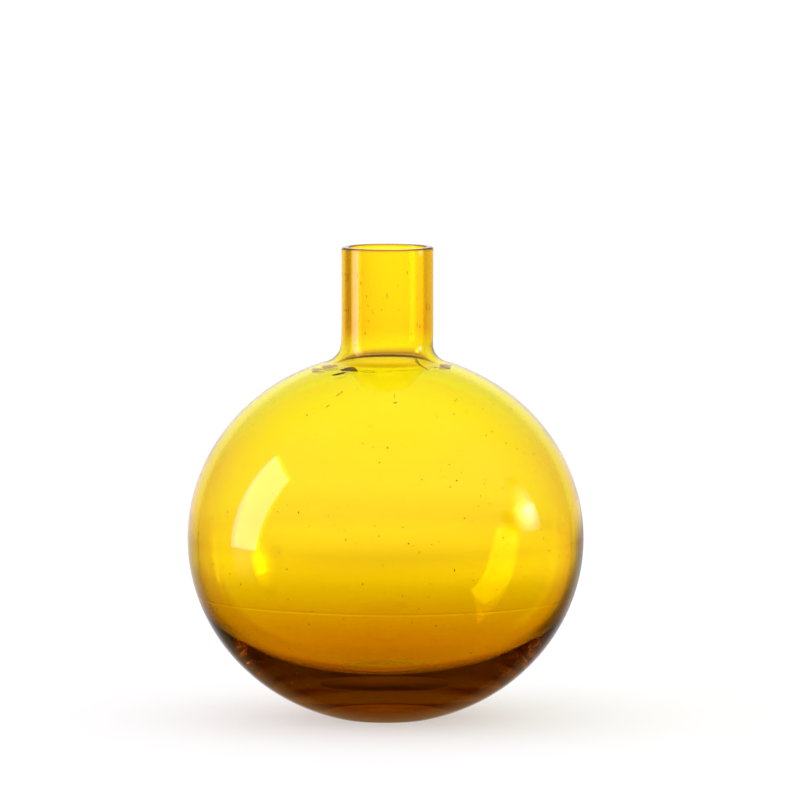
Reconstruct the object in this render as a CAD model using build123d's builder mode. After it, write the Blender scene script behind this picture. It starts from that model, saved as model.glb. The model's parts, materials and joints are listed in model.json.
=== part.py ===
from build123d import *

import os
from math import cos, isclose, radians, sin

# A globe bud vase of thick amber glass, free-blown and hot-worked.
# It is made from three bodies of glass that are fused where they meet:
#   globe        the blown bubble, which holds the water
#   neck         the straight tube, with the flared skirt that joins it to the globe
#   base_gather  a second gather round the lower part of the bubble, which makes the heavy base
# Millimetres, +Z up, origin at the centre of the ground foot. All three are round about Z.

# Outside
HEIGHT = 180.0
GLOBE_RADIUS = 75.5
GLOBE_HALF_HEIGHT = 70.9
GLOBE_CENTRE_Z = 68.6
NECK_RADIUS = 17.5
SHOULDER_FILLET = 7.6
LIP_ROUNDING = 0.8

# Inside
NECK_WALL = 2.8
BORE_RADIUS = NECK_RADIUS - NECK_WALL
CAVITY_RADIUS = 71.6
CAVITY_HEIGHT = GLOBE_HALF_HEIGHT - 2.9
CAVITY_DEPTH = 57.5
BOWL_SQUARENESS = 2.336

# Where the bodies of glass meet
SEAM_RADIUS = 26.5
GATHER_TOP_Z = 47.0
BUBBLE_RADIUS = 74.2
BUBBLE_DEPTH = 61.0

# Ground foot: a flat ring round a shallow polished hollow
PUNT_RADIUS = 14.0
PUNT_DEPTH = 1.0

# Points along the lower half of a bowl, how far the cutting shapes reach past the glass,
# and how close two positions are when they count as the same
BOWL_POINTS = 13
SPARE = 20.0
MATCH = 0.01

# All sections are upright half sections: the sketch's X is the radius, its Y is the height.
GLOBE_CENTRE = (0, GLOBE_CENTRE_Z)


def bowl_section(radius, depth, height):
    """Half section of a filled bowl about the globe's centre.

    Below the centre its side is a superellipse, which is squarer than an ellipse, and above
    the centre it is a quarter of an ellipse.
    """
    power = 2.0 / BOWL_SQUARENESS
    bottom = (0, GLOBE_CENTRE_Z - depth)
    side = (radius, GLOBE_CENTRE_Z)
    turns = [radians(90.0 * step / (BOWL_POINTS - 1)) for step in range(1, BOWL_POINTS - 1)]
    between = [(radius * sin(t) ** power, GLOBE_CENTRE_Z - depth * cos(t) ** power) for t in turns]
    with BuildSketch() as bowl:
        with BuildLine():
            Spline(bottom, *between, side, tangents=[(1, 0), (0, 1)])
            EllipticalCenterArc(GLOBE_CENTRE, radius, height, 0, arc_size=90)
            Line((0, GLOBE_CENTRE_Z + height), bottom)
        make_face()
    return bowl.sketch


def with_tube(body, tube_radius, top, fillet_radius):
    """Half section of a body with a tube that rises out of it, rounded where they meet."""
    with BuildSketch() as joined:
        add(body)
        with Locations((0, top)):
            Rectangle(tube_radius, top - GLOBE_CENTRE_Z, align=(Align.MIN, Align.MAX))
        tube_ends = joined.vertices().filter_by(lambda end: isclose(end.X, tube_radius, abs_tol=MATCH))
        fillet(tube_ends.sort_by(Axis.Y)[0], fillet_radius)
    return joined.sketch


def revolved(section, label):
    """Turn a half section about Z into one labelled solid."""
    with BuildPart() as body:
        with BuildSketch(Plane.XZ):
            add(section)
        revolve(axis=Axis.Z)
    body.part.label = label
    return body.part


# The space inside
cavity = with_tube(
    bowl_section(CAVITY_RADIUS, CAVITY_DEPTH, CAVITY_HEIGHT),
    BORE_RADIUS,
    HEIGHT + SPARE,
    SHOULDER_FILLET + NECK_WALL,
)

# The outside, cut flat at the foot
with BuildSketch() as globe_outline:
    with BuildLine():
        EllipticalCenterArc(GLOBE_CENTRE, GLOBE_RADIUS, GLOBE_HALF_HEIGHT, -90, arc_size=180)
        Line((0, GLOBE_CENTRE_Z + GLOBE_HALF_HEIGHT), (0, GLOBE_CENTRE_Z - GLOBE_HALF_HEIGHT))
    make_face()
    Rectangle(GLOBE_RADIUS, SPARE, align=(Align.MIN, Align.MAX), mode=Mode.SUBTRACT)

# All the glass
punt_curve = (PUNT_RADIUS**2 + PUNT_DEPTH**2) / (2 * PUNT_DEPTH)
with BuildSketch() as glass:
    add(with_tube(globe_outline.sketch, NECK_RADIUS, HEIGHT, SHOULDER_FILLET))
    add(cavity, mode=Mode.SUBTRACT)
    fillet(glass.vertices().group_by(Axis.Y)[-1], LIP_ROUNDING)
    with Locations((0, PUNT_DEPTH - punt_curve)):
        Circle(punt_curve, mode=Mode.SUBTRACT)

# The neck's side of its seam, a cone that crosses the shoulder square to its surface
rise = GLOBE_HALF_HEIGHT * (1 - (SEAM_RADIUS / GLOBE_RADIUS) ** 2) ** 0.5
seam = Vector(SEAM_RADIUS, GLOBE_CENTRE_Z + rise)
square_to_seam = Vector(SEAM_RADIUS / GLOBE_RADIUS**2, rise / GLOBE_HALF_HEIGHT**2).normalized()
seam_low = seam - square_to_seam * SPARE
seam_high = seam + square_to_seam * HEIGHT
with BuildSketch() as neck_side:
    with BuildLine():
        Polyline((0, seam_low.Y), seam_low, seam_high, (0, seam_high.Y), close=True)
    make_face()

# The gather's side of its seam, outside the bubble and below the gather's blunt top edge
with BuildSketch() as gather_side:
    Rectangle(GLOBE_RADIUS, GATHER_TOP_Z, align=Align.MIN)
    add(bowl_section(BUBBLE_RADIUS, BUBBLE_DEPTH, CAVITY_HEIGHT), mode=Mode.SUBTRACT)

with BuildSketch() as neck_section:
    add(glass.sketch)
    add(neck_side.sketch, mode=Mode.INTERSECT)

with BuildSketch() as gather_section:
    add(glass.sketch)
    add(gather_side.sketch, mode=Mode.INTERSECT)

with BuildSketch() as globe_section:
    add(glass.sketch)
    add(neck_side.sketch, mode=Mode.SUBTRACT)
    add(gather_side.sketch, mode=Mode.SUBTRACT)

os.makedirs("parts", exist_ok=True)
for section, label in (
    (globe_section, "globe"),
    (neck_section, "neck"),
    (gather_section, "base_gather"),
):
    export_step(revolved(section.sketch, label), f"parts/{label}.step")
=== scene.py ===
"""The looks of the glass bud vase: one seamless body of amber glass, its flaws, and a studio.

Metres, +Z up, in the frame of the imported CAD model. The camera looks along +Y.
"""

import json
import math
import random

import bmesh
import bpy
import numpy as np
from mathutils import Matrix, Vector, noise


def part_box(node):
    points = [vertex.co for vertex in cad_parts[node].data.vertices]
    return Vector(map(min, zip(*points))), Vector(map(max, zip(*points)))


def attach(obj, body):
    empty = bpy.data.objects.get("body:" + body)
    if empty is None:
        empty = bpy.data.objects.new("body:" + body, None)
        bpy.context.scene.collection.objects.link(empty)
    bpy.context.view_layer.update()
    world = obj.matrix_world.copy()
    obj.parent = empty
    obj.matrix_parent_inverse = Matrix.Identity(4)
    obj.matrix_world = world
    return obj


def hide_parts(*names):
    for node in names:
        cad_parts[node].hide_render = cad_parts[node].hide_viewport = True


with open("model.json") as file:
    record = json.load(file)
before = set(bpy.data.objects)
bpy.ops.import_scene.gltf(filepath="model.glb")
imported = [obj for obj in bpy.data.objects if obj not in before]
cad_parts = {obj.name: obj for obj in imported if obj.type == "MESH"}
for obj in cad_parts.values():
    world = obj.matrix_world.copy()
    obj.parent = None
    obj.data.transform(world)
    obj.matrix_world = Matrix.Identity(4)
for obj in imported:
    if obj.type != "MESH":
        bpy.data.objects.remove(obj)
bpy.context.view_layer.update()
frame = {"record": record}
MM = 0.001

# Sizes of the vase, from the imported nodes
GLOBE_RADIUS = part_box("globe")[1].x
RIM_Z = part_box("neck")[1].z
GATHER_TOP_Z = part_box("base_gather")[1].z
BORE_RADIUS = next(m for m in frame["record"]["mounts"] if m["name"] == "mouth")["dims"]["r_mm"] * MM

# The rest of the design's sizes
GLOBE_CENTRE_Z = 68.6 * MM
GLOBE_HALF_HEIGHT = 70.9 * MM
NECK_RADIUS = 17.5 * MM
SHOULDER_FILLET = 7.6 * MM
LIP_ROUNDING = 0.8 * MM
CAVITY_RADIUS = 71.6 * MM
CAVITY_HEIGHT = 68.0 * MM
CAVITY_DEPTH = 57.5 * MM
BOWL_SQUARENESS = 2.365
FOOT_RADIUS = 19.1 * MM
PUNT_RADIUS = 14.0 * MM
PUNT_DEPTH = 1.0 * MM
FOOT_EDGE = 0.35 * MM

# How far free-blown glass is out of true: the neck and the cavity to the right or left, the dip
# in its lip, and the ridge along the gather's top edge, which lies a little above the CAD edge
NECK_OFFSET = 0.7 * MM
CAVITY_OFFSET = -0.2 * MM
RIM_DIP = 0.18 * MM
GATHER_RIDGE = 0.055 * MM
RIDGE_WIDTH = 0.35 * MM
GATHER_RISE = 0.35 * MM
GATHER_WANDER = 0.5 * MM
GATHER_WAVE = 60 * MM

# Ripples as layers of (height, wavelength round Z, wavelength along Z, seed), and how far above
# the foot and below the rim they reach their full height
OUTSIDE_RIPPLES = ((0.025 * MM, 55 * MM, 30 * MM, 1), (0.35 * 0.025 * MM, 40 * MM, 9 * MM, 2))
INSIDE_RIPPLES = ((0.035 * MM, 60 * MM, 14 * MM, 3), (0.3 * 0.035 * MM, 45 * MM, 6 * MM, 4))
CALM_FOOT = (2 * MM, 15 * MM)
CALM_RIM = 8 * MM

# Heights between which the neck's offset comes in, and half the height of the finer rings at
# the gather's top edge
NECK_STARTS_Z = 128.0 * MM
NECK_TRUE_Z = 150.0 * MM
FINE_RINGS = 1.5 * MM

# Points round each ring, and rings along each part of the profile
SEGMENTS = 240
PUNT_RINGS = 14
FOOT_RINGS = 8
GATHER_RINGS = 42
EDGE_RINGS = 13
GLOBE_RINGS = 100
SHOULDER_RINGS = 12
NECK_RINGS = 20
LIP_RINGS = 9
RIM_RINGS = 5
INNER_SHOULDER_RINGS = 14
UPPER_CAVITY_RINGS = 60
LOWER_CAVITY_RINGS = 74

# Small bubbles and dark grains in the glass: how many, the random seed, which of them are in the
# neck (every sixth or twelfth), and their heights in the body and in the neck
SEEDS, SEEDS_CHANCE, SEEDS_PER_NECK_SEED = 170, 7, 6
SEEDS_Z = (9 * MM, 124 * MM)
NECK_SEEDS_Z = (NECK_TRUE_Z - 6 * MM, RIM_Z - 8 * MM)
SPECKS, SPECKS_CHANCE, SPECKS_PER_NECK_SPECK = 240, 19, 12
SPECKS_Z = (16 * MM, 127 * MM)
NECK_SPECKS_Z = (NECK_TRUE_Z - 8 * MM, RIM_Z - 6 * MM)

# Light lost per metre of glass, in red, green and blue
LOSS = (21.0, 30.0, 1000.0)
ABSORB_DENSITY = max(LOSS)
ABSORB_COLOUR = tuple(1 - loss / ABSORB_DENSITY for loss in LOSS) + (1,)
GROUND_ROUGHNESS = 0.5


# ---------------------------------------------------------------- the profile of the glass
def globe_radius_at(z):
    """Outside radius of the globe at a height."""
    return GLOBE_RADIUS * math.sqrt(max(0.0, 1 - ((z - GLOBE_CENTRE_Z) / GLOBE_HALF_HEIGHT) ** 2))


def shoulder(tube_radius, fillet, radius, height):
    """Centre of the shoulder's fillet, and the turn round the ellipse where it touches."""
    low, high = 0.0, math.pi / 2
    for _ in range(60):
        turn = (low + high) / 2
        normal = Vector((math.sin(turn) / radius, math.cos(turn) / height)).normalized()
        if radius * math.sin(turn) + fillet * normal.x < tube_radius + fillet:
            low = turn
        else:
            high = turn
    centre = Vector((radius * math.sin(turn), GLOBE_CENTRE_Z + height * math.cos(turn)))
    return centre + normal * fillet, turn


def arc(centre, radius, start, end, count):
    """Points round an arc. Angles are from the outward level direction, in radians."""
    angles = np.linspace(start, end, count)
    return [(centre[0] + radius * math.cos(a), centre[1] + radius * math.sin(a)) for a in angles]


def ellipse(radius, height, start, end, count):
    """Points round an upright ellipse about the globe's centre. Turns are from the top."""
    return [
        (radius * math.sin(t), GLOBE_CENTRE_Z + height * math.cos(t))
        for t in np.linspace(start, end, count)
    ]


def outside_profile():
    """From the middle of the foot, out and up to the top of the lip."""
    foot_turn = math.pi - math.asin(math.sqrt(1 - (GLOBE_CENTRE_Z / GLOBE_HALF_HEIGHT) ** 2))
    foot_radius = GLOBE_RADIUS * math.sin(foot_turn)
    punt_curve = (PUNT_RADIUS**2 + PUNT_DEPTH**2) / (2 * PUNT_DEPTH)
    points = [
        (r, PUNT_DEPTH - punt_curve + math.sqrt(punt_curve**2 - r**2))
        for r in np.linspace(0, PUNT_RADIUS - FOOT_EDGE / 2, PUNT_RINGS)
    ]
    flat_ring = np.linspace(PUNT_RADIUS + FOOT_EDGE / 2, foot_radius - FOOT_EDGE, FOOT_RINGS)
    points += [(r, 0.0) for r in flat_ring]
    centre, touch = shoulder(NECK_RADIUS, SHOULDER_FILLET, GLOBE_RADIUS, GLOBE_HALF_HEIGHT)
    below_edge, above_edge = (
        math.acos((GATHER_TOP_Z + gap - GLOBE_CENTRE_Z) / GLOBE_HALF_HEIGHT)
        for gap in (-FINE_RINGS, FINE_RINGS)
    )
    foot_break = 0.004
    points += ellipse(GLOBE_RADIUS, GLOBE_HALF_HEIGHT, foot_turn - foot_break, below_edge, GATHER_RINGS)
    points += ellipse(GLOBE_RADIUS, GLOBE_HALF_HEIGHT, below_edge, above_edge, EDGE_RINGS)[1:]
    points += ellipse(GLOBE_RADIUS, GLOBE_HALF_HEIGHT, above_edge, touch, GLOBE_RINGS)[1:]
    normal = (Vector(points[-1]) - centre).normalized()
    points += arc(centre, SHOULDER_FILLET, math.atan2(normal.y, normal.x), -math.pi, SHOULDER_RINGS)[1:]
    points += [(NECK_RADIUS, z) for z in np.linspace(centre.y, RIM_Z - LIP_ROUNDING, NECK_RINGS)[1:]]
    lip = (NECK_RADIUS - LIP_ROUNDING, RIM_Z - LIP_ROUNDING)
    points += arc(lip, LIP_ROUNDING, 0, math.pi / 2, LIP_RINGS)[1:]
    return points + [(r, RIM_Z) for r in np.linspace(lip[0], BORE_RADIUS + LIP_ROUNDING, RIM_RINGS)[1:]]


def inside_profile():
    """From the top of the lip, down the bore and round the cavity to the middle of its floor."""
    lip = (BORE_RADIUS + LIP_ROUNDING, RIM_Z - LIP_ROUNDING)
    points = arc(lip, LIP_ROUNDING, math.pi / 2, math.pi, LIP_RINGS)
    fillet = SHOULDER_FILLET + NECK_RADIUS - BORE_RADIUS
    centre, touch = shoulder(BORE_RADIUS, fillet, CAVITY_RADIUS, CAVITY_HEIGHT)
    points += [(BORE_RADIUS, z) for z in np.linspace(RIM_Z - LIP_ROUNDING, centre.y, NECK_RINGS)[1:]]
    end = Vector((CAVITY_RADIUS * math.sin(touch), GLOBE_CENTRE_Z + CAVITY_HEIGHT * math.cos(touch)))
    normal = (end - centre).normalized()
    arc_end = math.atan2(normal.y, normal.x) % (2 * math.pi)
    points += arc(centre, fillet, math.pi, arc_end, INNER_SHOULDER_RINGS)[1:]
    points += ellipse(CAVITY_RADIUS, CAVITY_HEIGHT, touch, math.pi / 2, UPPER_CAVITY_RINGS)[1:]
    power = 2 / BOWL_SQUARENESS
    for turn in np.linspace(math.pi / 2, 0, LOWER_CAVITY_RINGS)[1:]:
        drop = CAVITY_DEPTH * math.cos(turn) ** power
        points.append((CAVITY_RADIUS * math.sin(turn) ** power, GLOBE_CENTRE_Z - drop))
    return points


def put_in_scene(name, data):
    """A new object in the scene, with a mesh or a camera."""
    obj = bpy.data.objects.new(name, data)
    bpy.context.scene.collection.objects.link(obj)
    return obj


def lathe(name, points):
    """A closed surface of revolution about Z. The first and last points are on the axis."""
    turns = np.linspace(0, 2 * math.pi, SEGMENTS, endpoint=False)
    rings = np.array(points[1:-1])
    x = np.outer(rings[:, 0], np.cos(turns))
    y = np.outer(rings[:, 0], np.sin(turns))
    z = np.outer(rings[:, 1], np.ones(SEGMENTS))
    vertices = np.stack([x, y, z], axis=-1).reshape(-1, 3)
    vertices = np.vstack([vertices, [(0, 0, points[0][1]), (0, 0, points[-1][1])]])
    first, last = len(vertices) - 2, len(vertices) - 1
    faces = []
    for ring in range(len(rings) - 1):
        for s in range(SEGMENTS):
            a, b = ring * SEGMENTS + s, ring * SEGMENTS + (s + 1) % SEGMENTS
            faces.append((a, b, b + SEGMENTS, a + SEGMENTS))
    end = (len(rings) - 1) * SEGMENTS
    for s in range(SEGMENTS):
        n = (s + 1) % SEGMENTS
        faces.append((first, n, s))
        faces.append((last, end + s, end + n))
    mesh = bpy.data.meshes.new(name)
    mesh.from_pydata(vertices.tolist(), [], faces)
    mesh.shade_smooth()
    return put_in_scene(name, mesh)


def smooth_step(low, high, values):
    """0 below low, 1 above high and a smooth rise between."""
    t = np.clip((values - low) / (high - low), 0, 1)
    return t * t * (3 - 2 * t)


def wave(points, around, along, seed):
    """Smooth noise at points, with wavelengths around Z and along Z."""
    shift = Vector((seed * 7.3, seed * 3.1, seed * 5.7))
    return np.array([noise.noise(Vector((x / around, y / around, z / along)) + shift) for x, y, z in points])


def ripples(points, layers):
    """A sum of waves, from layers of (height, around, along, seed)."""
    return sum(height * wave(points, around, along, seed) for height, around, along, seed in layers)


def ring_normals(points):
    """Unit normals of a profile, to the left of its direction."""
    path = np.array(points)
    along = np.gradient(path, axis=0)
    normals = np.stack([along[:, 1], -along[:, 0]], axis=-1)
    return normals / np.linalg.norm(normals, axis=1, keepdims=True)


def work_the_glass(obj, profile, inside_from):
    """Push the rings of true glass out of true, as hand work leaves them."""
    rings = len(profile) - 2
    count = rings * SEGMENTS
    co = np.empty(len(obj.data.vertices) * 3)
    obj.data.vertices.foreach_get("co", co)
    co = co.reshape(-1, 3)
    body = co[:count]
    radius = np.linalg.norm(body[:, :2], axis=1)
    outward = body[:, :2] / radius[:, None]
    normals = np.repeat(ring_normals(profile)[1:-1], SEGMENTS, axis=0)
    inner = np.arange(count) >= inside_from * SEGMENTS
    z = body[:, 2].copy()

    # Ripples, which die away at the foot and the rim, and the ridge, which is only on the front
    free = smooth_step(*CALM_FOOT, z) * (1 - smooth_step(RIM_Z - CALM_RIM, RIM_Z, z))
    push = free * np.where(inner, ripples(body, INSIDE_RIPPLES), ripples(body, OUTSIDE_RIPPLES))
    wander = wave(body * (1, 1, 0), GATHER_WAVE, GATHER_WAVE, 5)
    edge = GATHER_TOP_Z + GATHER_RISE + GATHER_WANDER * wander
    front = np.clip(0.5 - 1.5 * body[:, 1] / radius, 0, 1)
    ridge = GATHER_RIDGE * front * np.exp(-(((z - edge) / RIDGE_WIDTH) ** 2))
    push += np.where(inner, 0, ridge)
    body[:, :2] += outward * (normals[:, 0] * push)[:, None]
    body[:, 2] += normals[:, 1] * push

    # The offsets, and the lip's dip, which varies once and three times round
    neck = smooth_step(NECK_STARTS_Z, NECK_TRUE_Z, z)
    body[:, 0] += neck * NECK_OFFSET + np.where(inner, (1 - neck) * CAVITY_OFFSET, 0)
    turn = np.arctan2(body[:, 1], body[:, 0])
    dip = 0.5 - 0.3 * np.cos(turn + 0.6) - 0.2 * np.cos(3 * turn)
    body[:, 2] -= RIM_DIP * dip * smooth_step(RIM_Z - 4 * MM, RIM_Z - 0.5 * MM, z)
    obj.data.vertices.foreach_set("co", co.ravel())
    obj.data.update()


outside = outside_profile()
inside = inside_profile()
profile = outside + inside[1:]
glass = lathe("vase_glass", profile)
work_the_glass(glass, profile, len(outside) - 1)


# ---------------------------------------------------------------- seeds, trapped in the glass
def cavity_radius_at(z):
    """Inside radius at a height, or 0 below the cavity."""
    path = np.array(inside[:-1][::-1])
    path = path[path[:, 1] < NECK_STARTS_Z]
    return float(np.interp(z, path[:, 1], path[:, 0], left=0.0))


def add_seeds(obj):
    """Small closed bubbles, turned inside out, in the wall of the glass."""
    chance = random.Random(SEEDS_CHANCE)
    shell = bmesh.new()
    shell.from_mesh(obj.data)
    for index in range(SEEDS):
        turn = chance.uniform(0, 2 * math.pi)
        size = chance.uniform(0.14, 0.34) * MM
        if index % SEEDS_PER_NECK_SEED == 0:
            z = chance.uniform(*NECK_SEEDS_Z)
            radius = chance.uniform(BORE_RADIUS + 3 * size, NECK_RADIUS - 3 * size)
            centre = Vector((radius * math.cos(turn) + NECK_OFFSET, radius * math.sin(turn), z))
            stretch = (0.8, 0.8, chance.uniform(1.5, 4.5))
        else:
            z = chance.uniform(*SEEDS_Z)
            low, high = cavity_radius_at(z), globe_radius_at(z)
            radius = chance.uniform(low + 0.6 * MM + 2 * size, high - 0.5 * MM - size)
            centre = Vector((radius * math.cos(turn), radius * math.sin(turn), z))
            stretch = (1.0, 1.0, chance.uniform(0.6, 1.3))
        spin = Matrix.Rotation(turn + chance.uniform(-0.3, 0.3), 4, "Z")
        shape = Matrix.Diagonal((*(size * s for s in stretch), 1))
        place = Matrix.Translation(centre) @ spin @ shape
        made = bmesh.ops.create_icosphere(shell, subdivisions=1, radius=1, matrix=place)
        faces = {f for v in made["verts"] for f in v.link_faces}
        bmesh.ops.reverse_faces(shell, faces=list(faces))
        for face in faces:
            face.smooth = True
    shell.to_mesh(obj.data)
    shell.free()


add_seeds(glass)


# ---------------------------------------------------------------- flaws trapped in the neck's joint
FLAW_DEPTH = 0.6 * MM
FLAW_THICKNESS = 0.12 * MM


def shoulder_place(azimuth, radius, depth):
    """A point at a depth under the shoulder. Azimuth is in degrees to the right of the front."""
    path = np.array([q for q in outside if q[1] > GLOBE_CENTRE_Z + 30 * MM and q[0] > NECK_RADIUS][::-1])
    normals = ring_normals(path[::-1])[::-1]
    height = np.interp(radius, path[:, 0], path[:, 1])
    out = np.array([np.interp(radius, path[:, 0], normals[:, k]) for k in (0, 1)])
    out /= np.linalg.norm(out)
    turn = math.radians(azimuth)
    level = radius - out[0] * depth
    return Vector((level * math.sin(turn), -level * math.cos(turn), height - out[1] * depth))


def as_object(name, shell):
    """A new object from a bmesh, which is freed."""
    mesh = bpy.data.meshes.new(name)
    shell.to_mesh(mesh)
    shell.free()
    return put_in_scene(name, mesh)


def films(name, outlines):
    """Thin closed flakes under the shoulder, from outlines of (azimuth in degrees, radius in mm)."""
    shell = bmesh.new()
    for outline in outlines:
        middle = tuple(sum(q[k] for q in outline) / len(outline) for k in (0, 1))
        layers = []
        for level in (FLAW_DEPTH, FLAW_DEPTH + FLAW_THICKNESS):
            rim = [shell.verts.new(shoulder_place(a, r * MM, level)) for a, r in outline]
            layers.append((rim, shell.verts.new(shoulder_place(middle[0], middle[1] * MM, level))))
        (top, top_hub), (low, low_hub) = layers
        for i in range(len(outline)):
            j = (i + 1) % len(outline)
            shell.faces.new((top[i], top[j], top_hub))
            shell.faces.new((low[j], low[i], low_hub))
            shell.faces.new((top[j], top[i], low[i], low[j]))
    bmesh.ops.recalc_face_normals(shell, faces=shell.faces)
    return as_object(name, shell)


def strip(path, width):
    """The outline of a thin line, thickest in its middle, along (azimuth, radius) points."""
    half = [width / 2 * math.sin(math.pi * (i + 0.6) / (len(path) + 0.2)) for i in range(len(path))]
    (a0, r0), (a1, r1) = path[0], path[-1]
    run = Vector(((a1 - a0) * math.radians(1) * r0, r1 - r0)).normalized()
    across = (-run.y / (math.radians(1) * r0), run.x)
    left = [(a + across[0] * h, r + across[1] * h) for (a, r), h in zip(path, half)]
    right = [(a - across[0] * h, r - across[1] * h) for (a, r), h in zip(path, half)]
    return left + right[::-1]


flakes = [
    [
        (-41.5, 26.6), (-39, 25.6), (-36.5, 24.1), (-33, 23.4), (-29, 23.9), (-26, 25.2),
        (-22, 27.2), (-27, 27.4), (-32, 27.1), (-36, 27.6), (-39, 27.0),
    ],
    [(-31.5, 27.4), (-33, 28.0), (-36.5, 28.8), (-41.5, 31.0), (-39, 31.4), (-35.5, 30.8), (-33, 29.6)],
    strip([(37.8, 18.9), (37.2, 20.2), (36.9, 22.0), (36.8, 24.3), (36.7, 26.6)], 0.5),
    strip([(34.9, 18.8), (34.9, 20.4), (34.9, 23.0), (35.2, 25.2)], 0.25),
    strip([(46, 25.6), (48.5, 25.1), (51, 25.5)], 0.4),
    strip([(57, 24.9), (60, 24.4), (64, 24.8)], 0.6),
]
faint_flakes = [
    strip([(-21, 27.0), (-16, 26.2), (-11, 26.3), (-7, 27.2)], 0.35),
    strip([(-21, 27.4), (-15, 27.9), (-10, 28.0), (-6, 27.5)], 0.3),
    strip([(-2, 26.7), (1, 26.9), (4, 26.5), (7, 26.8)], 0.35),
    strip([(9, 26.5), (12, 26.1), (15, 26.6), (19, 26.1)], 0.45),
    strip([(20, 26.3), (24, 25.9), (28, 26.4)], 0.35),
    strip([(34.5, 26.8), (36, 26.5), (38, 27.0)], 0.5),
    strip([(-47, 25.5), (-42, 24.7), (-38, 24.4)], 0.45),
    strip([(-25.8, 43.2), (-24.6, 42.2), (-23.4, 40.6)], 1.0),
    strip([(-27.6, 48.9), (-27.0, 48.0), (-26.4, 47.4)], 0.7),
    strip([(3.4, 45.4), (4.2, 46.3), (5.0, 46.3), (5.7, 45.3)], 0.5),
    strip([(4.3, 44.0), (4.6, 42.6), (4.7, 41.4)], 0.45),
]
hazes = [
    [(-72, 25.0), (-64, 23.6), (-54, 23.0), (-49, 23.8), (-53, 25.6), (-60, 26.7), (-66, 26.6)],
    [(-77, 28.8), (-70, 27.6), (-61, 27.2), (-58, 28.0), (-64, 29.0), (-72, 29.8)],
    [(57, 24.6), (62, 23.1), (70, 23.6), (77, 25.6), (70, 26.6), (62, 25.8)],
]
dark_flaws = films("joint_flakes", flakes)


def specks(name, count):
    """Small dark grains, scattered in the wall of the glass."""
    chance = random.Random(SPECKS_CHANCE)
    shell = bmesh.new()
    for index in range(count):
        turn = chance.uniform(0, 2 * math.pi)
        size = chance.uniform(0.14, 0.30) * MM
        if index % SPECKS_PER_NECK_SPECK == 0:
            z = chance.uniform(*NECK_SPECKS_Z)
            radius = (BORE_RADIUS + NECK_RADIUS) / 2 + chance.uniform(-0.5, 0.5) * MM
            stretch, shift = (0.55, 0.55, chance.uniform(1.2, 3.0)), NECK_OFFSET
        else:
            z = chance.uniform(*SPECKS_Z)
            low, high = cavity_radius_at(z), globe_radius_at(z)
            radius = chance.uniform(max(low + 1.2 * MM, high - 6 * MM), high - 0.8 * MM)
            stretch, shift = (1.0, 1.0, chance.uniform(0.7, 1.6)), 0.0
        place = Matrix.Translation((radius * math.cos(turn) + shift, radius * math.sin(turn), z))
        lean = Matrix.Rotation(turn, 4, "Z") @ Matrix.Rotation(chance.uniform(-0.4, 0.4), 4, "X")
        shape = Matrix.Diagonal((*(size * k for k in stretch), 1))
        bmesh.ops.create_icosphere(shell, subdivisions=1, radius=1, matrix=place @ lean @ shape)
    return as_object(name, shell)


dark_specks = specks("glass_specks", SPECKS)
faint_flaws = films("joint_traces", faint_flakes)
haze_flaws = films("joint_haze", hazes)


# ---------------------------------------------------------------- materials
def new_material(name):
    """An empty node material and its tree."""
    material = bpy.data.materials.new(name)
    material.use_nodes = True
    material.node_tree.nodes.clear()
    return material, material.node_tree


def ramp(tree, factor, stops):
    """A colour ramp through stops of (position, linear colour)."""
    node = tree.nodes.new("ShaderNodeValToRGB")
    elements = node.color_ramp.elements
    while len(elements) > 1:
        elements.remove(elements[-1])
    elements[0].position, elements[0].color = stops[0][0], (*stops[0][1], 1)
    for position, colour in stops[1:]:
        elements.new(position).color = (*colour, 1)
    tree.links.new(factor, node.inputs["Fac"])
    return node.outputs["Color"]


def map_range(tree, value, low, high, to_low=0.0, to_high=1.0):
    """A value mapped from one range to another, and clamped."""
    node = tree.nodes.new("ShaderNodeMapRange")
    tree.links.new(value, node.inputs["Value"])
    for socket, number in zip(("From Min", "From Max", "To Min", "To Max"), (low, high, to_low, to_high)):
        node.inputs[socket].default_value = number
    return node.outputs["Result"]


def multiply_colours(tree, a, b):
    """One colour times another."""
    node = tree.nodes.new("ShaderNodeMix")
    node.data_type, node.blend_type = "RGBA", "MULTIPLY"
    node.inputs["Factor"].default_value = 1.0
    tree.links.new(a, node.inputs["A"])
    tree.links.new(b, node.inputs["B"])
    return node.outputs["Result"]


def mix_colours(tree, factor, a, b):
    """From a to b by a factor. Either can be a socket or a fixed colour."""
    node = tree.nodes.new("ShaderNodeMix")
    node.data_type = "RGBA"
    tree.links.new(factor, node.inputs["Factor"])
    for socket, value in (("A", a), ("B", b)):
        if isinstance(value, tuple):
            node.inputs[socket].default_value = (*value, 1)
        else:
            tree.links.new(value, node.inputs[socket])
    return node.outputs["Result"]


def maths(tree, operation, *values):
    """One step of arithmetic on sockets and numbers."""
    node = tree.nodes.new("ShaderNodeMath")
    node.operation = operation
    for socket, value in zip(node.inputs, values):
        if isinstance(value, (int, float)):
            socket.default_value = value
        else:
            tree.links.new(value, socket)
    return node.outputs[0]


def product(tree, first, *others):
    """Values multiplied together."""
    for value in others:
        first = maths(tree, "MULTIPLY", first, value)
    return first


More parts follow.
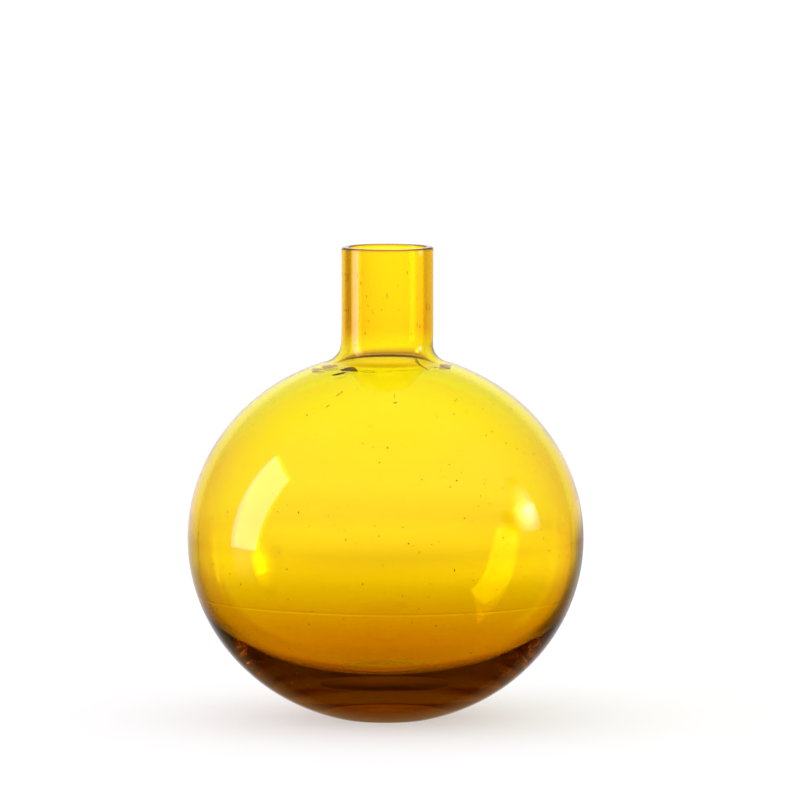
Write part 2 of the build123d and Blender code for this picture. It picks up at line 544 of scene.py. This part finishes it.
# Tint of the glass by height in metres: darker and warmer towards the foot, with a painted dark band at the
# neck's root and a painted dark line along the rim
TINT_AND_SHADE_BY_HEIGHT = [
    (0.0000, (0.75, 0.42, 0.15)),
    (0.0060, (0.85, 0.50, 0.20)),
    (0.0110, (1.00, 0.62, 0.30)),
    (0.0160, (1.00, 0.68, 0.35)),
    (0.0260, (1.00, 0.76, 0.45)),
    (0.0400, (1.00, 0.88, 0.60)),
    (0.0600, (1.00, 0.92, 0.70)),
    (0.1000, (1.00, 0.95, 0.80)),
    (0.1160, (1.00, 1.00, 0.80)),
    (0.1350, (1.00, 1.00, 0.75)),
    (0.1390, (1.00, 0.93, 0.50)),
    (0.1420, (1.00, 0.98, 0.65)),
    (0.1480, (1.00, 0.84, 0.60)),
    (0.1560, (1.00, 0.87, 0.50)),
    (0.1785, (1.00, 0.91, 0.50)),
    (0.1791, (1.00, 0.91, 0.50)),
    (0.1794, (0.60, 0.56, 0.15)),
    (0.1797, (0.60, 0.56, 0.15)),
    (0.1798, (1.00, 1.00, 0.90)),
]
# The painted shade along the limb of the lower body: where it starts and ends in height and
# depth, how far round it lies at each height, and its colour by how far a point is from there
LIMB_STARTS_Z = (29 * MM, 38 * MM)
LIMB_ENDS_Z = (82 * MM, 69 * MM)
LIMB_FRONT_Y = (0, -3 * MM)
LIMB_SIDES_X = (-20 * MM, 20 * MM)
LIMB_PLACE = [(0.034, 0.59), (0.041, 0.68), (0.048, 0.73), (0.056, 0.76), (0.063, 0.785), (0.072, 0.80)]
LIMB_REACH = (-0.3, 0.1)
LIMB_SHADE_RIGHT = [
    (-0.26, (1.00, 1.00, 1.00)),
    (-0.15, (0.88, 0.74, 0.70)),
    (-0.12, (0.77, 0.64, 0.60)),
    (-0.095, (0.59, 0.49, 0.45)),
    (-0.065, (0.38, 0.30, 0.25)),
    (-0.035, (0.20, 0.16, 0.12)),
    (0.00, (0.085, 0.08, 0.06)),
    (0.10, (0.09, 0.09, 0.07)),
]
LIMB_SHADE_LEFT = [
    (-0.30, (1.00, 1.00, 1.00)),
    (-0.25, (0.76, 0.66, 0.60)),
    (-0.15, (0.66, 0.56, 0.50)),
    (-0.11, (0.59, 0.52, 0.45)),
    (-0.07, (0.52, 0.45, 0.40)),
    (-0.03, (0.42, 0.38, 0.33)),
    (0.02, (0.37, 0.34, 0.30)),
    (0.08, (0.25, 0.24, 0.22)),
]
# The painted warm shade along the outline below the shoulder and the painted dark bands at the
# neck's two edges: where they come in, and their colours by how nearly the surface is seen edge on
WARM_SHADE_Z = (125 * MM, 100 * MM)
NECK_SHADE_Z = (134 * MM, 150 * MM)
NECK_SIDES_X = (-5 * MM, 5 * MM)
WARM_EDGE_SHADE = [
    (0.45, (1.00, 1.00, 1.00)),
    (0.70, (1.00, 0.84, 0.67)),
    (1.00, (1.00, 0.73, 0.55)),
]
NECK_LEFT_SHADE = [
    (0.00, (1.00, 0.95, 0.90)),
    (0.10, (1.00, 0.84, 0.80)),
    (0.18, (1.00, 0.70, 0.70)),
    (0.25, (1.00, 0.62, 0.50)),
    (0.31, (1.00, 0.62, 0.50)),
    (0.355, (0.88, 0.66, 0.35)),
    (0.41, (0.22, 0.16, 0.03)),
    (0.475, (0.24, 0.13, 0.01)),
    (0.55, (0.31, 0.18, 0.03)),
    (0.60, (0.60, 0.43, 0.14)),
    (0.655, (1.00, 0.95, 0.50)),
    (0.74, (1.00, 1.00, 0.80)),
]
NECK_RIGHT_SHADE = [
    (0.00, (1.00, 1.00, 1.00)),
    (0.15, (1.00, 0.97, 0.90)),
    (0.34, (0.97, 0.68, 0.60)),
    (0.41, (0.44, 0.27, 0.10)),
    (0.46, (0.46, 0.24, 0.10)),
    (0.60, (0.66, 0.40, 0.20)),
    (0.74, (0.88, 0.62, 0.40)),
    (1.00, (1.00, 0.80, 0.60)),
]


def amber_glass():
    """Amber glass that absorbs light along its whole path, with painted shade at its edges, its ground foot
    and faint ripples.
    """
    material, tree = new_material("amber_glass")
    nodes, links = tree.nodes, tree.links
    out = nodes.new("ShaderNodeOutputMaterial")
    shader = nodes.new("ShaderNodeBsdfPrincipled")
    shader.inputs["Transmission Weight"].default_value = 1.0
    shader.inputs["IOR"].default_value = 1.5
    place = nodes.new("ShaderNodeTexCoord")
    axes = nodes.new("ShaderNodeSeparateXYZ")
    links.new(place.outputs["Object"], axes.inputs["Vector"])
    height = axes.outputs["Z"]

    # The tint by height, which carries painted shade at the neck's root and along the rim
    tint_and_shade = ramp(tree, map_range(tree, height, 0, RIM_Z), [(z / RIM_Z, c) for z, c in TINT_AND_SHADE_BY_HEIGHT])
    weight = nodes.new("ShaderNodeLayerWeight")
    weight.inputs["Blend"].default_value = 0.5
    facing = weight.outputs["Facing"]

    # Painted dark bands down the two edges of the neck's outside
    left, right = (ramp(tree, facing, stops) for stops in (NECK_LEFT_SHADE, NECK_RIGHT_SHADE))
    edge = mix_colours(tree, map_range(tree, axes.outputs["X"], *NECK_SIDES_X), left, right)
    flat = nodes.new("ShaderNodeVectorMath")
    flat.operation = "MULTIPLY"
    links.new(place.outputs["Object"], flat.inputs[0])
    flat.inputs[1].default_value = (1, 1, 0)
    length = nodes.new("ShaderNodeVectorMath")
    length.operation = "LENGTH"
    links.new(flat.outputs["Vector"], length.inputs[0])
    radius = length.outputs["Value"]
    outer_wall = maths(tree, "GREATER_THAN", radius, (NECK_RADIUS + BORE_RADIUS) / 2)
    on_neck = product(tree, map_range(tree, height, *NECK_SHADE_Z), outer_wall)
    tint_and_shade = multiply_colours(tree, tint_and_shade, mix_colours(tree, on_neck, (1.0, 1.0, 1.0), edge))

    # Painted shade along the limb of the lower body, which is sharper on the right
    upness = map_range(tree, height, 0, RIM_Z)
    limb_place = ramp(tree, upness, [(z / RIM_Z, (f, f, f)) for z, f in LIMB_PLACE])
    before, after = LIMB_REACH
    past = map_range(tree, maths(tree, "SUBTRACT", facing, limb_place), before, after)
    left, right = (
        ramp(tree, past, [((f - before) / (after - before), c) for f, c in stops])
        for stops in (LIMB_SHADE_LEFT, LIMB_SHADE_RIGHT)
    )
    limb_shade = mix_colours(tree, map_range(tree, axes.outputs["X"], *LIMB_SIDES_X), left, right)
    lower = product(
        tree, map_range(tree, height, *LIMB_STARTS_Z), map_range(tree, height, *LIMB_ENDS_Z),
        map_range(tree, axes.outputs["Y"], *LIMB_FRONT_Y),
    )
    tint_and_shade = multiply_colours(tree, tint_and_shade, mix_colours(tree, lower, (1.0, 1.0, 1.0), limb_shade))

    # Painted warm shade along the outline below the shoulder, where the surface is seen edge on
    below_shoulder = map_range(tree, height, *WARM_SHADE_Z)
    warm_shade = mix_colours(tree, below_shoulder, (1.0, 1.0, 1.0), ramp(tree, facing, WARM_EDGE_SHADE))
    tint_and_shade = multiply_colours(tree, tint_and_shade, warm_shade)
    links.new(tint_and_shade, shader.inputs["Base Color"])

    # The foot and its hollow are finely ground
    under = map_range(tree, height, PUNT_DEPTH + 0.15 * MM, PUNT_DEPTH + 0.10 * MM)
    in_foot = maths(tree, "LESS_THAN", radius, FOOT_RADIUS)
    links.new(product(tree, under, in_foot, GROUND_ROUGHNESS), shader.inputs["Roughness"])

    # Fine ripples, mostly round the vase
    stretch = nodes.new("ShaderNodeMapping")
    stretch.inputs["Scale"].default_value = (1, 1, 14)
    links.new(place.outputs["Object"], stretch.inputs["Vector"])
    ripple = nodes.new("ShaderNodeTexNoise")
    ripple.inputs["Scale"].default_value = 22.0
    ripple.inputs["Detail"].default_value = 2.0
    links.new(stretch.outputs["Vector"], ripple.inputs["Vector"])
    bump = nodes.new("ShaderNodeBump")
    bump.inputs["Strength"].default_value = 1.0
    bump.inputs["Distance"].default_value = 0.008 * MM
    links.new(ripple.outputs["Fac"], bump.inputs["Height"])
    links.new(bump.outputs["Normal"], shader.inputs["Normal"])

    absorb = nodes.new("ShaderNodeVolumeAbsorption")
    absorb.inputs["Color"].default_value = ABSORB_COLOUR
    absorb.inputs["Density"].default_value = ABSORB_DENSITY
    links.new(shader.outputs["BSDF"], out.inputs["Surface"])
    links.new(absorb.outputs["Volume"], out.inputs["Volume"])
    return material


glass.data.materials.append(amber_glass())
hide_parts("globe", "neck", "base_gather")
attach(glass, "root")


def flaw_material(name, colour, mottle, alpha):
    """Scorched or clouded matter in the joint, mottled between two colours."""
    material, tree = new_material(name)
    nodes, links = tree.nodes, tree.links
    out = nodes.new("ShaderNodeOutputMaterial")
    shader = nodes.new("ShaderNodeBsdfPrincipled")
    shader.inputs["Roughness"].default_value = 0.6
    shader.inputs["Alpha"].default_value = alpha
    place = nodes.new("ShaderNodeTexCoord")
    spots = nodes.new("ShaderNodeTexNoise")
    spots.inputs["Scale"].default_value = 900.0
    links.new(place.outputs["Object"], spots.inputs["Vector"])
    links.new(mix_colours(tree, spots.outputs["Fac"], colour, mottle), shader.inputs["Base Color"])
    links.new(shader.outputs["BSDF"], out.inputs["Surface"])
    return material


for flaw, colour, mottle, alpha in (
    (dark_flaws, (0.05, 0.010, 0.001), (0.22, 0.05, 0.002), 1.0),
    (dark_specks, (0.13, 0.07, 0.003), (0.32, 0.18, 0.010), 1.0),
    (faint_flaws, (0.58, 0.40, 0.02), (0.80, 0.60, 0.05), 0.28),
    (haze_flaws, (0.50, 0.16, 0.14), (0.90, 0.55, 0.50), 0.60),
):
    flaw.data.materials.append(flaw_material(flaw.name, colour, mottle, alpha))
    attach(flaw, "root")


# ---------------------------------------------------------------- studio
WORLD = 1.30
FLOOR_HALF = 12.0
FLOOR_GAP = 0.05 * MM
FLOOR_WHITE = 0.5
# What the glass sees of the floor by distance from the vase: a glowing painted amber shadow of the vase,
# darkest near it, then white
PAINTED_FLOOR_SHADOW = [
    (0.00, (0.58, 0.24, 0.02)),
    (0.04, (0.62, 0.27, 0.02)),
    (0.08, (0.70, 0.34, 0.03)),
    (0.13, (0.72, 0.38, 0.05)),
    (0.19, (0.77, 0.44, 0.10)),
    (0.31, (0.80, 0.52, 0.20)),
    (0.39, (0.87, 0.60, 0.30)),
    (0.51, (0.94, 0.69, 0.45)),
    (0.62, (1.08, 0.83, 0.70)),
    (0.75, (1.28, 1.03, 0.90)),
    (0.90, (1.33, 1.18, 1.10)),
]
FLOOR_SEEN_REACH = 0.9
# What the outside of the glass reflects of the room, by degrees above the horizon, and the fixed
# colours of its low and dark parts
WARM_WHITE = (1.0, 0.93, 0.88)
LIT_FLOOR_REFLECTED = (0.31, 0.19, 0.07)
DARK_SIDE_REFLECTED = (0.20, 0.19, 0.19)
DARK_EDGE_REFLECTED = (0.48, 0.48, 0.60)
FRONT_REFLECTED = [
    (-90, 0.0), (-25, 0.0), (-13, 0.08), (-5, 0.18), (5, 0.35), (16, 0.5), (38, 0.72),
    (65, 0.6), (90, 0.5),
]
SIDES_REFLECTED = [
    (-90, 0.0), (-25, 0.0), (-13, 0.08), (-5, 0.13), (5, 0.25), (20, 0.40), (35, 0.36),
    (50, 0.28), (70, 0.35), (90, 0.5),
]
BACKDROP_REFLECTED = [
    (-90, 0.0), (-30, 0.10), (-20, 0.50), (-13, 0.74), (-8, 0.82), (-5.5, 1.05),
    (-2, 1.15), (20, 1.15), (40, 0.6), (90, 0.5),
]


def floor_material():
    """A pale floor. Seen through the glass it glows with a painted amber shadow of the vase round its foot.
    """
    material, tree = new_material("pale_floor_painted_shadow")
    nodes, links = tree.nodes, tree.links
    out = nodes.new("ShaderNodeOutputMaterial")
    shader = nodes.new("ShaderNodeBsdfPrincipled")
    shader.inputs["Base Color"].default_value = (0.86, 0.86, 0.86, 1)
    shader.inputs["Roughness"].default_value = 0.9
    place = nodes.new("ShaderNodeTexCoord")
    distance = nodes.new("ShaderNodeVectorMath")
    distance.operation = "LENGTH"
    links.new(place.outputs["Object"], distance.inputs[0])
    top = max(c[0] for _, c in PAINTED_FLOOR_SHADOW)
    reach = map_range(tree, distance.outputs["Value"], 0, FLOOR_SEEN_REACH)
    seen = ramp(tree, reach, [(d / FLOOR_SEEN_REACH, tuple(v / top for v in c)) for d, c in PAINTED_FLOOR_SHADOW])
    glow = nodes.new("ShaderNodeEmission")
    glow.inputs["Strength"].default_value = top
    links.new(seen, glow.inputs["Color"])
    path = nodes.new("ShaderNodeLightPath")
    white = nodes.new("ShaderNodeEmission")
    pale = nodes.new("ShaderNodeMixShader")
    pale.inputs[0].default_value = FLOOR_WHITE
    links.new(shader.outputs["BSDF"], pale.inputs[1])
    links.new(white.outputs["Emission"], pale.inputs[2])
    mix = nodes.new("ShaderNodeMixShader")
    links.new(path.outputs["Is Transmission Ray"], mix.inputs[0])
    links.new(pale.outputs[0], mix.inputs[1])
    links.new(glow.outputs["Emission"], mix.inputs[2])
    links.new(mix.outputs[0], out.inputs["Surface"])
    return material


floor_mesh = bpy.data.meshes.new("studio_floor")
floor_corners = [(x * FLOOR_HALF, y * FLOOR_HALF, 0) for x, y in ((-1, -1), (1, -1), (1, 1), (-1, 1))]
floor_mesh.from_pydata(floor_corners, [], [(0, 1, 2, 3)])
floor = put_in_scene("studio_floor", floor_mesh)
floor.data.materials.append(floor_material())
floor.visible_glossy = False
floor.location.z = -FLOOR_GAP


def studio_world():
    """A bright white room. The outside of the glass reflects it dimly, except straight behind."""
    world = bpy.data.worlds.new("studio")
    bpy.context.scene.world = world
    world.use_nodes = True
    tree = world.node_tree
    nodes, links = tree.nodes, tree.links
    place = nodes.new("ShaderNodeTexCoord")
    axes = nodes.new("ShaderNodeSeparateXYZ")
    links.new(place.outputs["Generated"], axes.inputs["Vector"])
    upness = map_range(tree, axes.outputs["Z"], -1, 1)

    def between(axis, low, high):
        """From 0 to 1 as a part of the direction goes from low to high."""
        return map_range(tree, axes.outputs[axis], low, high)

    def by_elevation(levels):
        """Warm white at levels by degrees above the horizon."""
        stops = [((math.sin(math.radians(e)) + 1) / 2, tuple(v * c for c in WARM_WHITE)) for e, v in levels]
        return ramp(tree, upness, stops)

    front, sides, back = (
        by_elevation(levels) for levels in (FRONT_REFLECTED, SIDES_REFLECTED, BACKDROP_REFLECTED)
    )

    # Behind, a dark side low on the right, which has a less dark edge
    dark_side = product(tree, between("X", 0.3, 0.6), between("Z", -0.02, -0.10))
    back = mix_colours(tree, dark_side, back, DARK_SIDE_REFLECTED)
    edge_heights = product(tree, between("Z", -0.05, -0.09), between("Z", -0.24, -0.15))
    dark_edge = product(tree, between("X", 0.04, 0.16), edge_heights)
    edge_only = maths(tree, "SUBTRACT", dark_edge, dark_side)
    back = mix_colours(tree, edge_only, back, DARK_EDGE_REFLECTED)

    # From in front to the sides to behind, and the lit floor behind
    near_sides = mix_colours(tree, between("Y", -0.05, 0.35), front, sides)
    reflected = mix_colours(tree, between("Y", 0.78, 1.0), near_sides, back)
    low = product(tree, between("Z", -0.30, -0.42), between("Y", 0.66, 0.88))
    reflected = mix_colours(tree, low, reflected, LIT_FLOOR_REFLECTED)
    path = nodes.new("ShaderNodeLightPath")
    is_reflection = product(tree, path.outputs["Is Reflection Ray"], path.outputs["Is Glossy Ray"])
    colour = mix_colours(tree, is_reflection, (WORLD, WORLD, WORLD), reflected)
    links.new(colour, nodes["Background"].inputs["Color"])


studio_world()


# How far the panels are to the side, and how many times as bright they are through the glass
SIDE = 0.8
THROUGH_GLASS = 1.9


def panel(name, side, corners, strength, edge_strength=None, hot=(0, 0), reach=1.0, colour=(1, 1, 1)):
    """A lit panel at a side of the vase, hidden from the camera.

    Corners are (toward the camera, above the globe's centre). Its light falls from strength at
    the hot point to edge_strength at reach from it. It is white and brighter through the glass,
    and of its own colour in reflections.
    """
    mesh = bpy.data.meshes.new(name)
    spots = [(side, -toward, GLOBE_CENTRE_Z + above) for toward, above in corners]
    mesh.from_pydata(spots, [], [tuple(range(len(spots)))])
    lamp = put_in_scene(name, mesh)
    material, tree = new_material(name)
    out = tree.nodes.new("ShaderNodeOutputMaterial")
    light = tree.nodes.new("ShaderNodeEmission")
    path = tree.nodes.new("ShaderNodeLightPath")
    is_through = path.outputs["Is Transmission Ray"]
    tree.links.new(mix_colours(tree, is_through, colour, (1, 1, 1)), light.inputs["Color"])
    level = strength
    if edge_strength is not None:
        place = tree.nodes.new("ShaderNodeTexCoord")
        gap = tree.nodes.new("ShaderNodeVectorMath")
        gap.operation = "DISTANCE"
        tree.links.new(place.outputs["Object"], gap.inputs[0])
        gap.inputs[1].default_value = (side, -hot[0], GLOBE_CENTRE_Z + hot[1])
        closeness = maths(tree, "POWER", map_range(tree, gap.outputs["Value"], reach, 0), 2.0)
        level = map_range(tree, closeness, 0, 1, edge_strength, strength)
    through = map_range(tree, is_through, 0, 1, 1.0, THROUGH_GLASS)
    tree.links.new(product(tree, through, level), light.inputs["Strength"])
    tree.links.new(light.outputs["Emission"], out.inputs["Surface"])
    mesh.materials.append(material)
    lamp.visible_camera = False


panel(
    "softbox_left", -SIDE, [(-0.049, 0.694), (0.319, 0.587), (0.181, -0.058), (-0.101, -0.055)],
    3.0, colour=(1.0, 0.72, 1.35),
)
panel(
    "glow_left", -SIDE, [(0.181, -0.06), (-0.101, -0.06), (-0.104, -0.255), (0.140, -0.30)],
    1.1, 0.05, hot=(0.04, -0.06), reach=0.26,
)
panel(
    "softbox_right", SIDE, [(-0.115, 0.218), (0.26, 0.235), (0.26, 0.05), (-0.13, 0.05)],
    11.5, 0.1, hot=(-0.02, 0.185), reach=0.21,
)
panel(
    "glow_right", SIDE, [(-0.105, 0.22), (0.13, 0.23), (0.04, 0.46), (-0.10, 0.42)],
    4.0, 0.2, hot=(-0.02, 0.20), reach=0.24,
)

# Camera: its height and distance, and the point it looks at, right of the vase and above its middle
CAMERA_ELEVATION = math.radians(6.2)
CAMERA_DISTANCE = 3.24
LENS = 382.5
AIM_RIGHT = 5.5 * MM
AIM_UP = 52.6 * MM

camera = put_in_scene("camera", bpy.data.cameras.new("camera"))
camera.data.lens = LENS
camera.data.sensor_width = 36.0
camera.data.clip_end = 100
toward_camera = Vector((0, -math.cos(CAMERA_ELEVATION), math.sin(CAMERA_ELEVATION)))
up = Vector((0, math.sin(CAMERA_ELEVATION), math.cos(CAMERA_ELEVATION)))
globe_centre = Vector((0, 0, GLOBE_CENTRE_Z))
camera.location = globe_centre + toward_camera * CAMERA_DISTANCE
aim = globe_centre + up * AIM_UP + Vector((AIM_RIGHT, 0, 0))
camera.rotation_mode = "QUATERNION"
camera.rotation_quaternion = (aim - camera.location).to_track_quat("-Z", "Y")
bpy.context.scene.camera = camera

scene = bpy.context.scene
scene.view_settings.view_transform = "Standard"
scene.cycles.max_bounces = 64
scene.cycles.transmission_bounces = 64
scene.cycles.glossy_bounces = 64
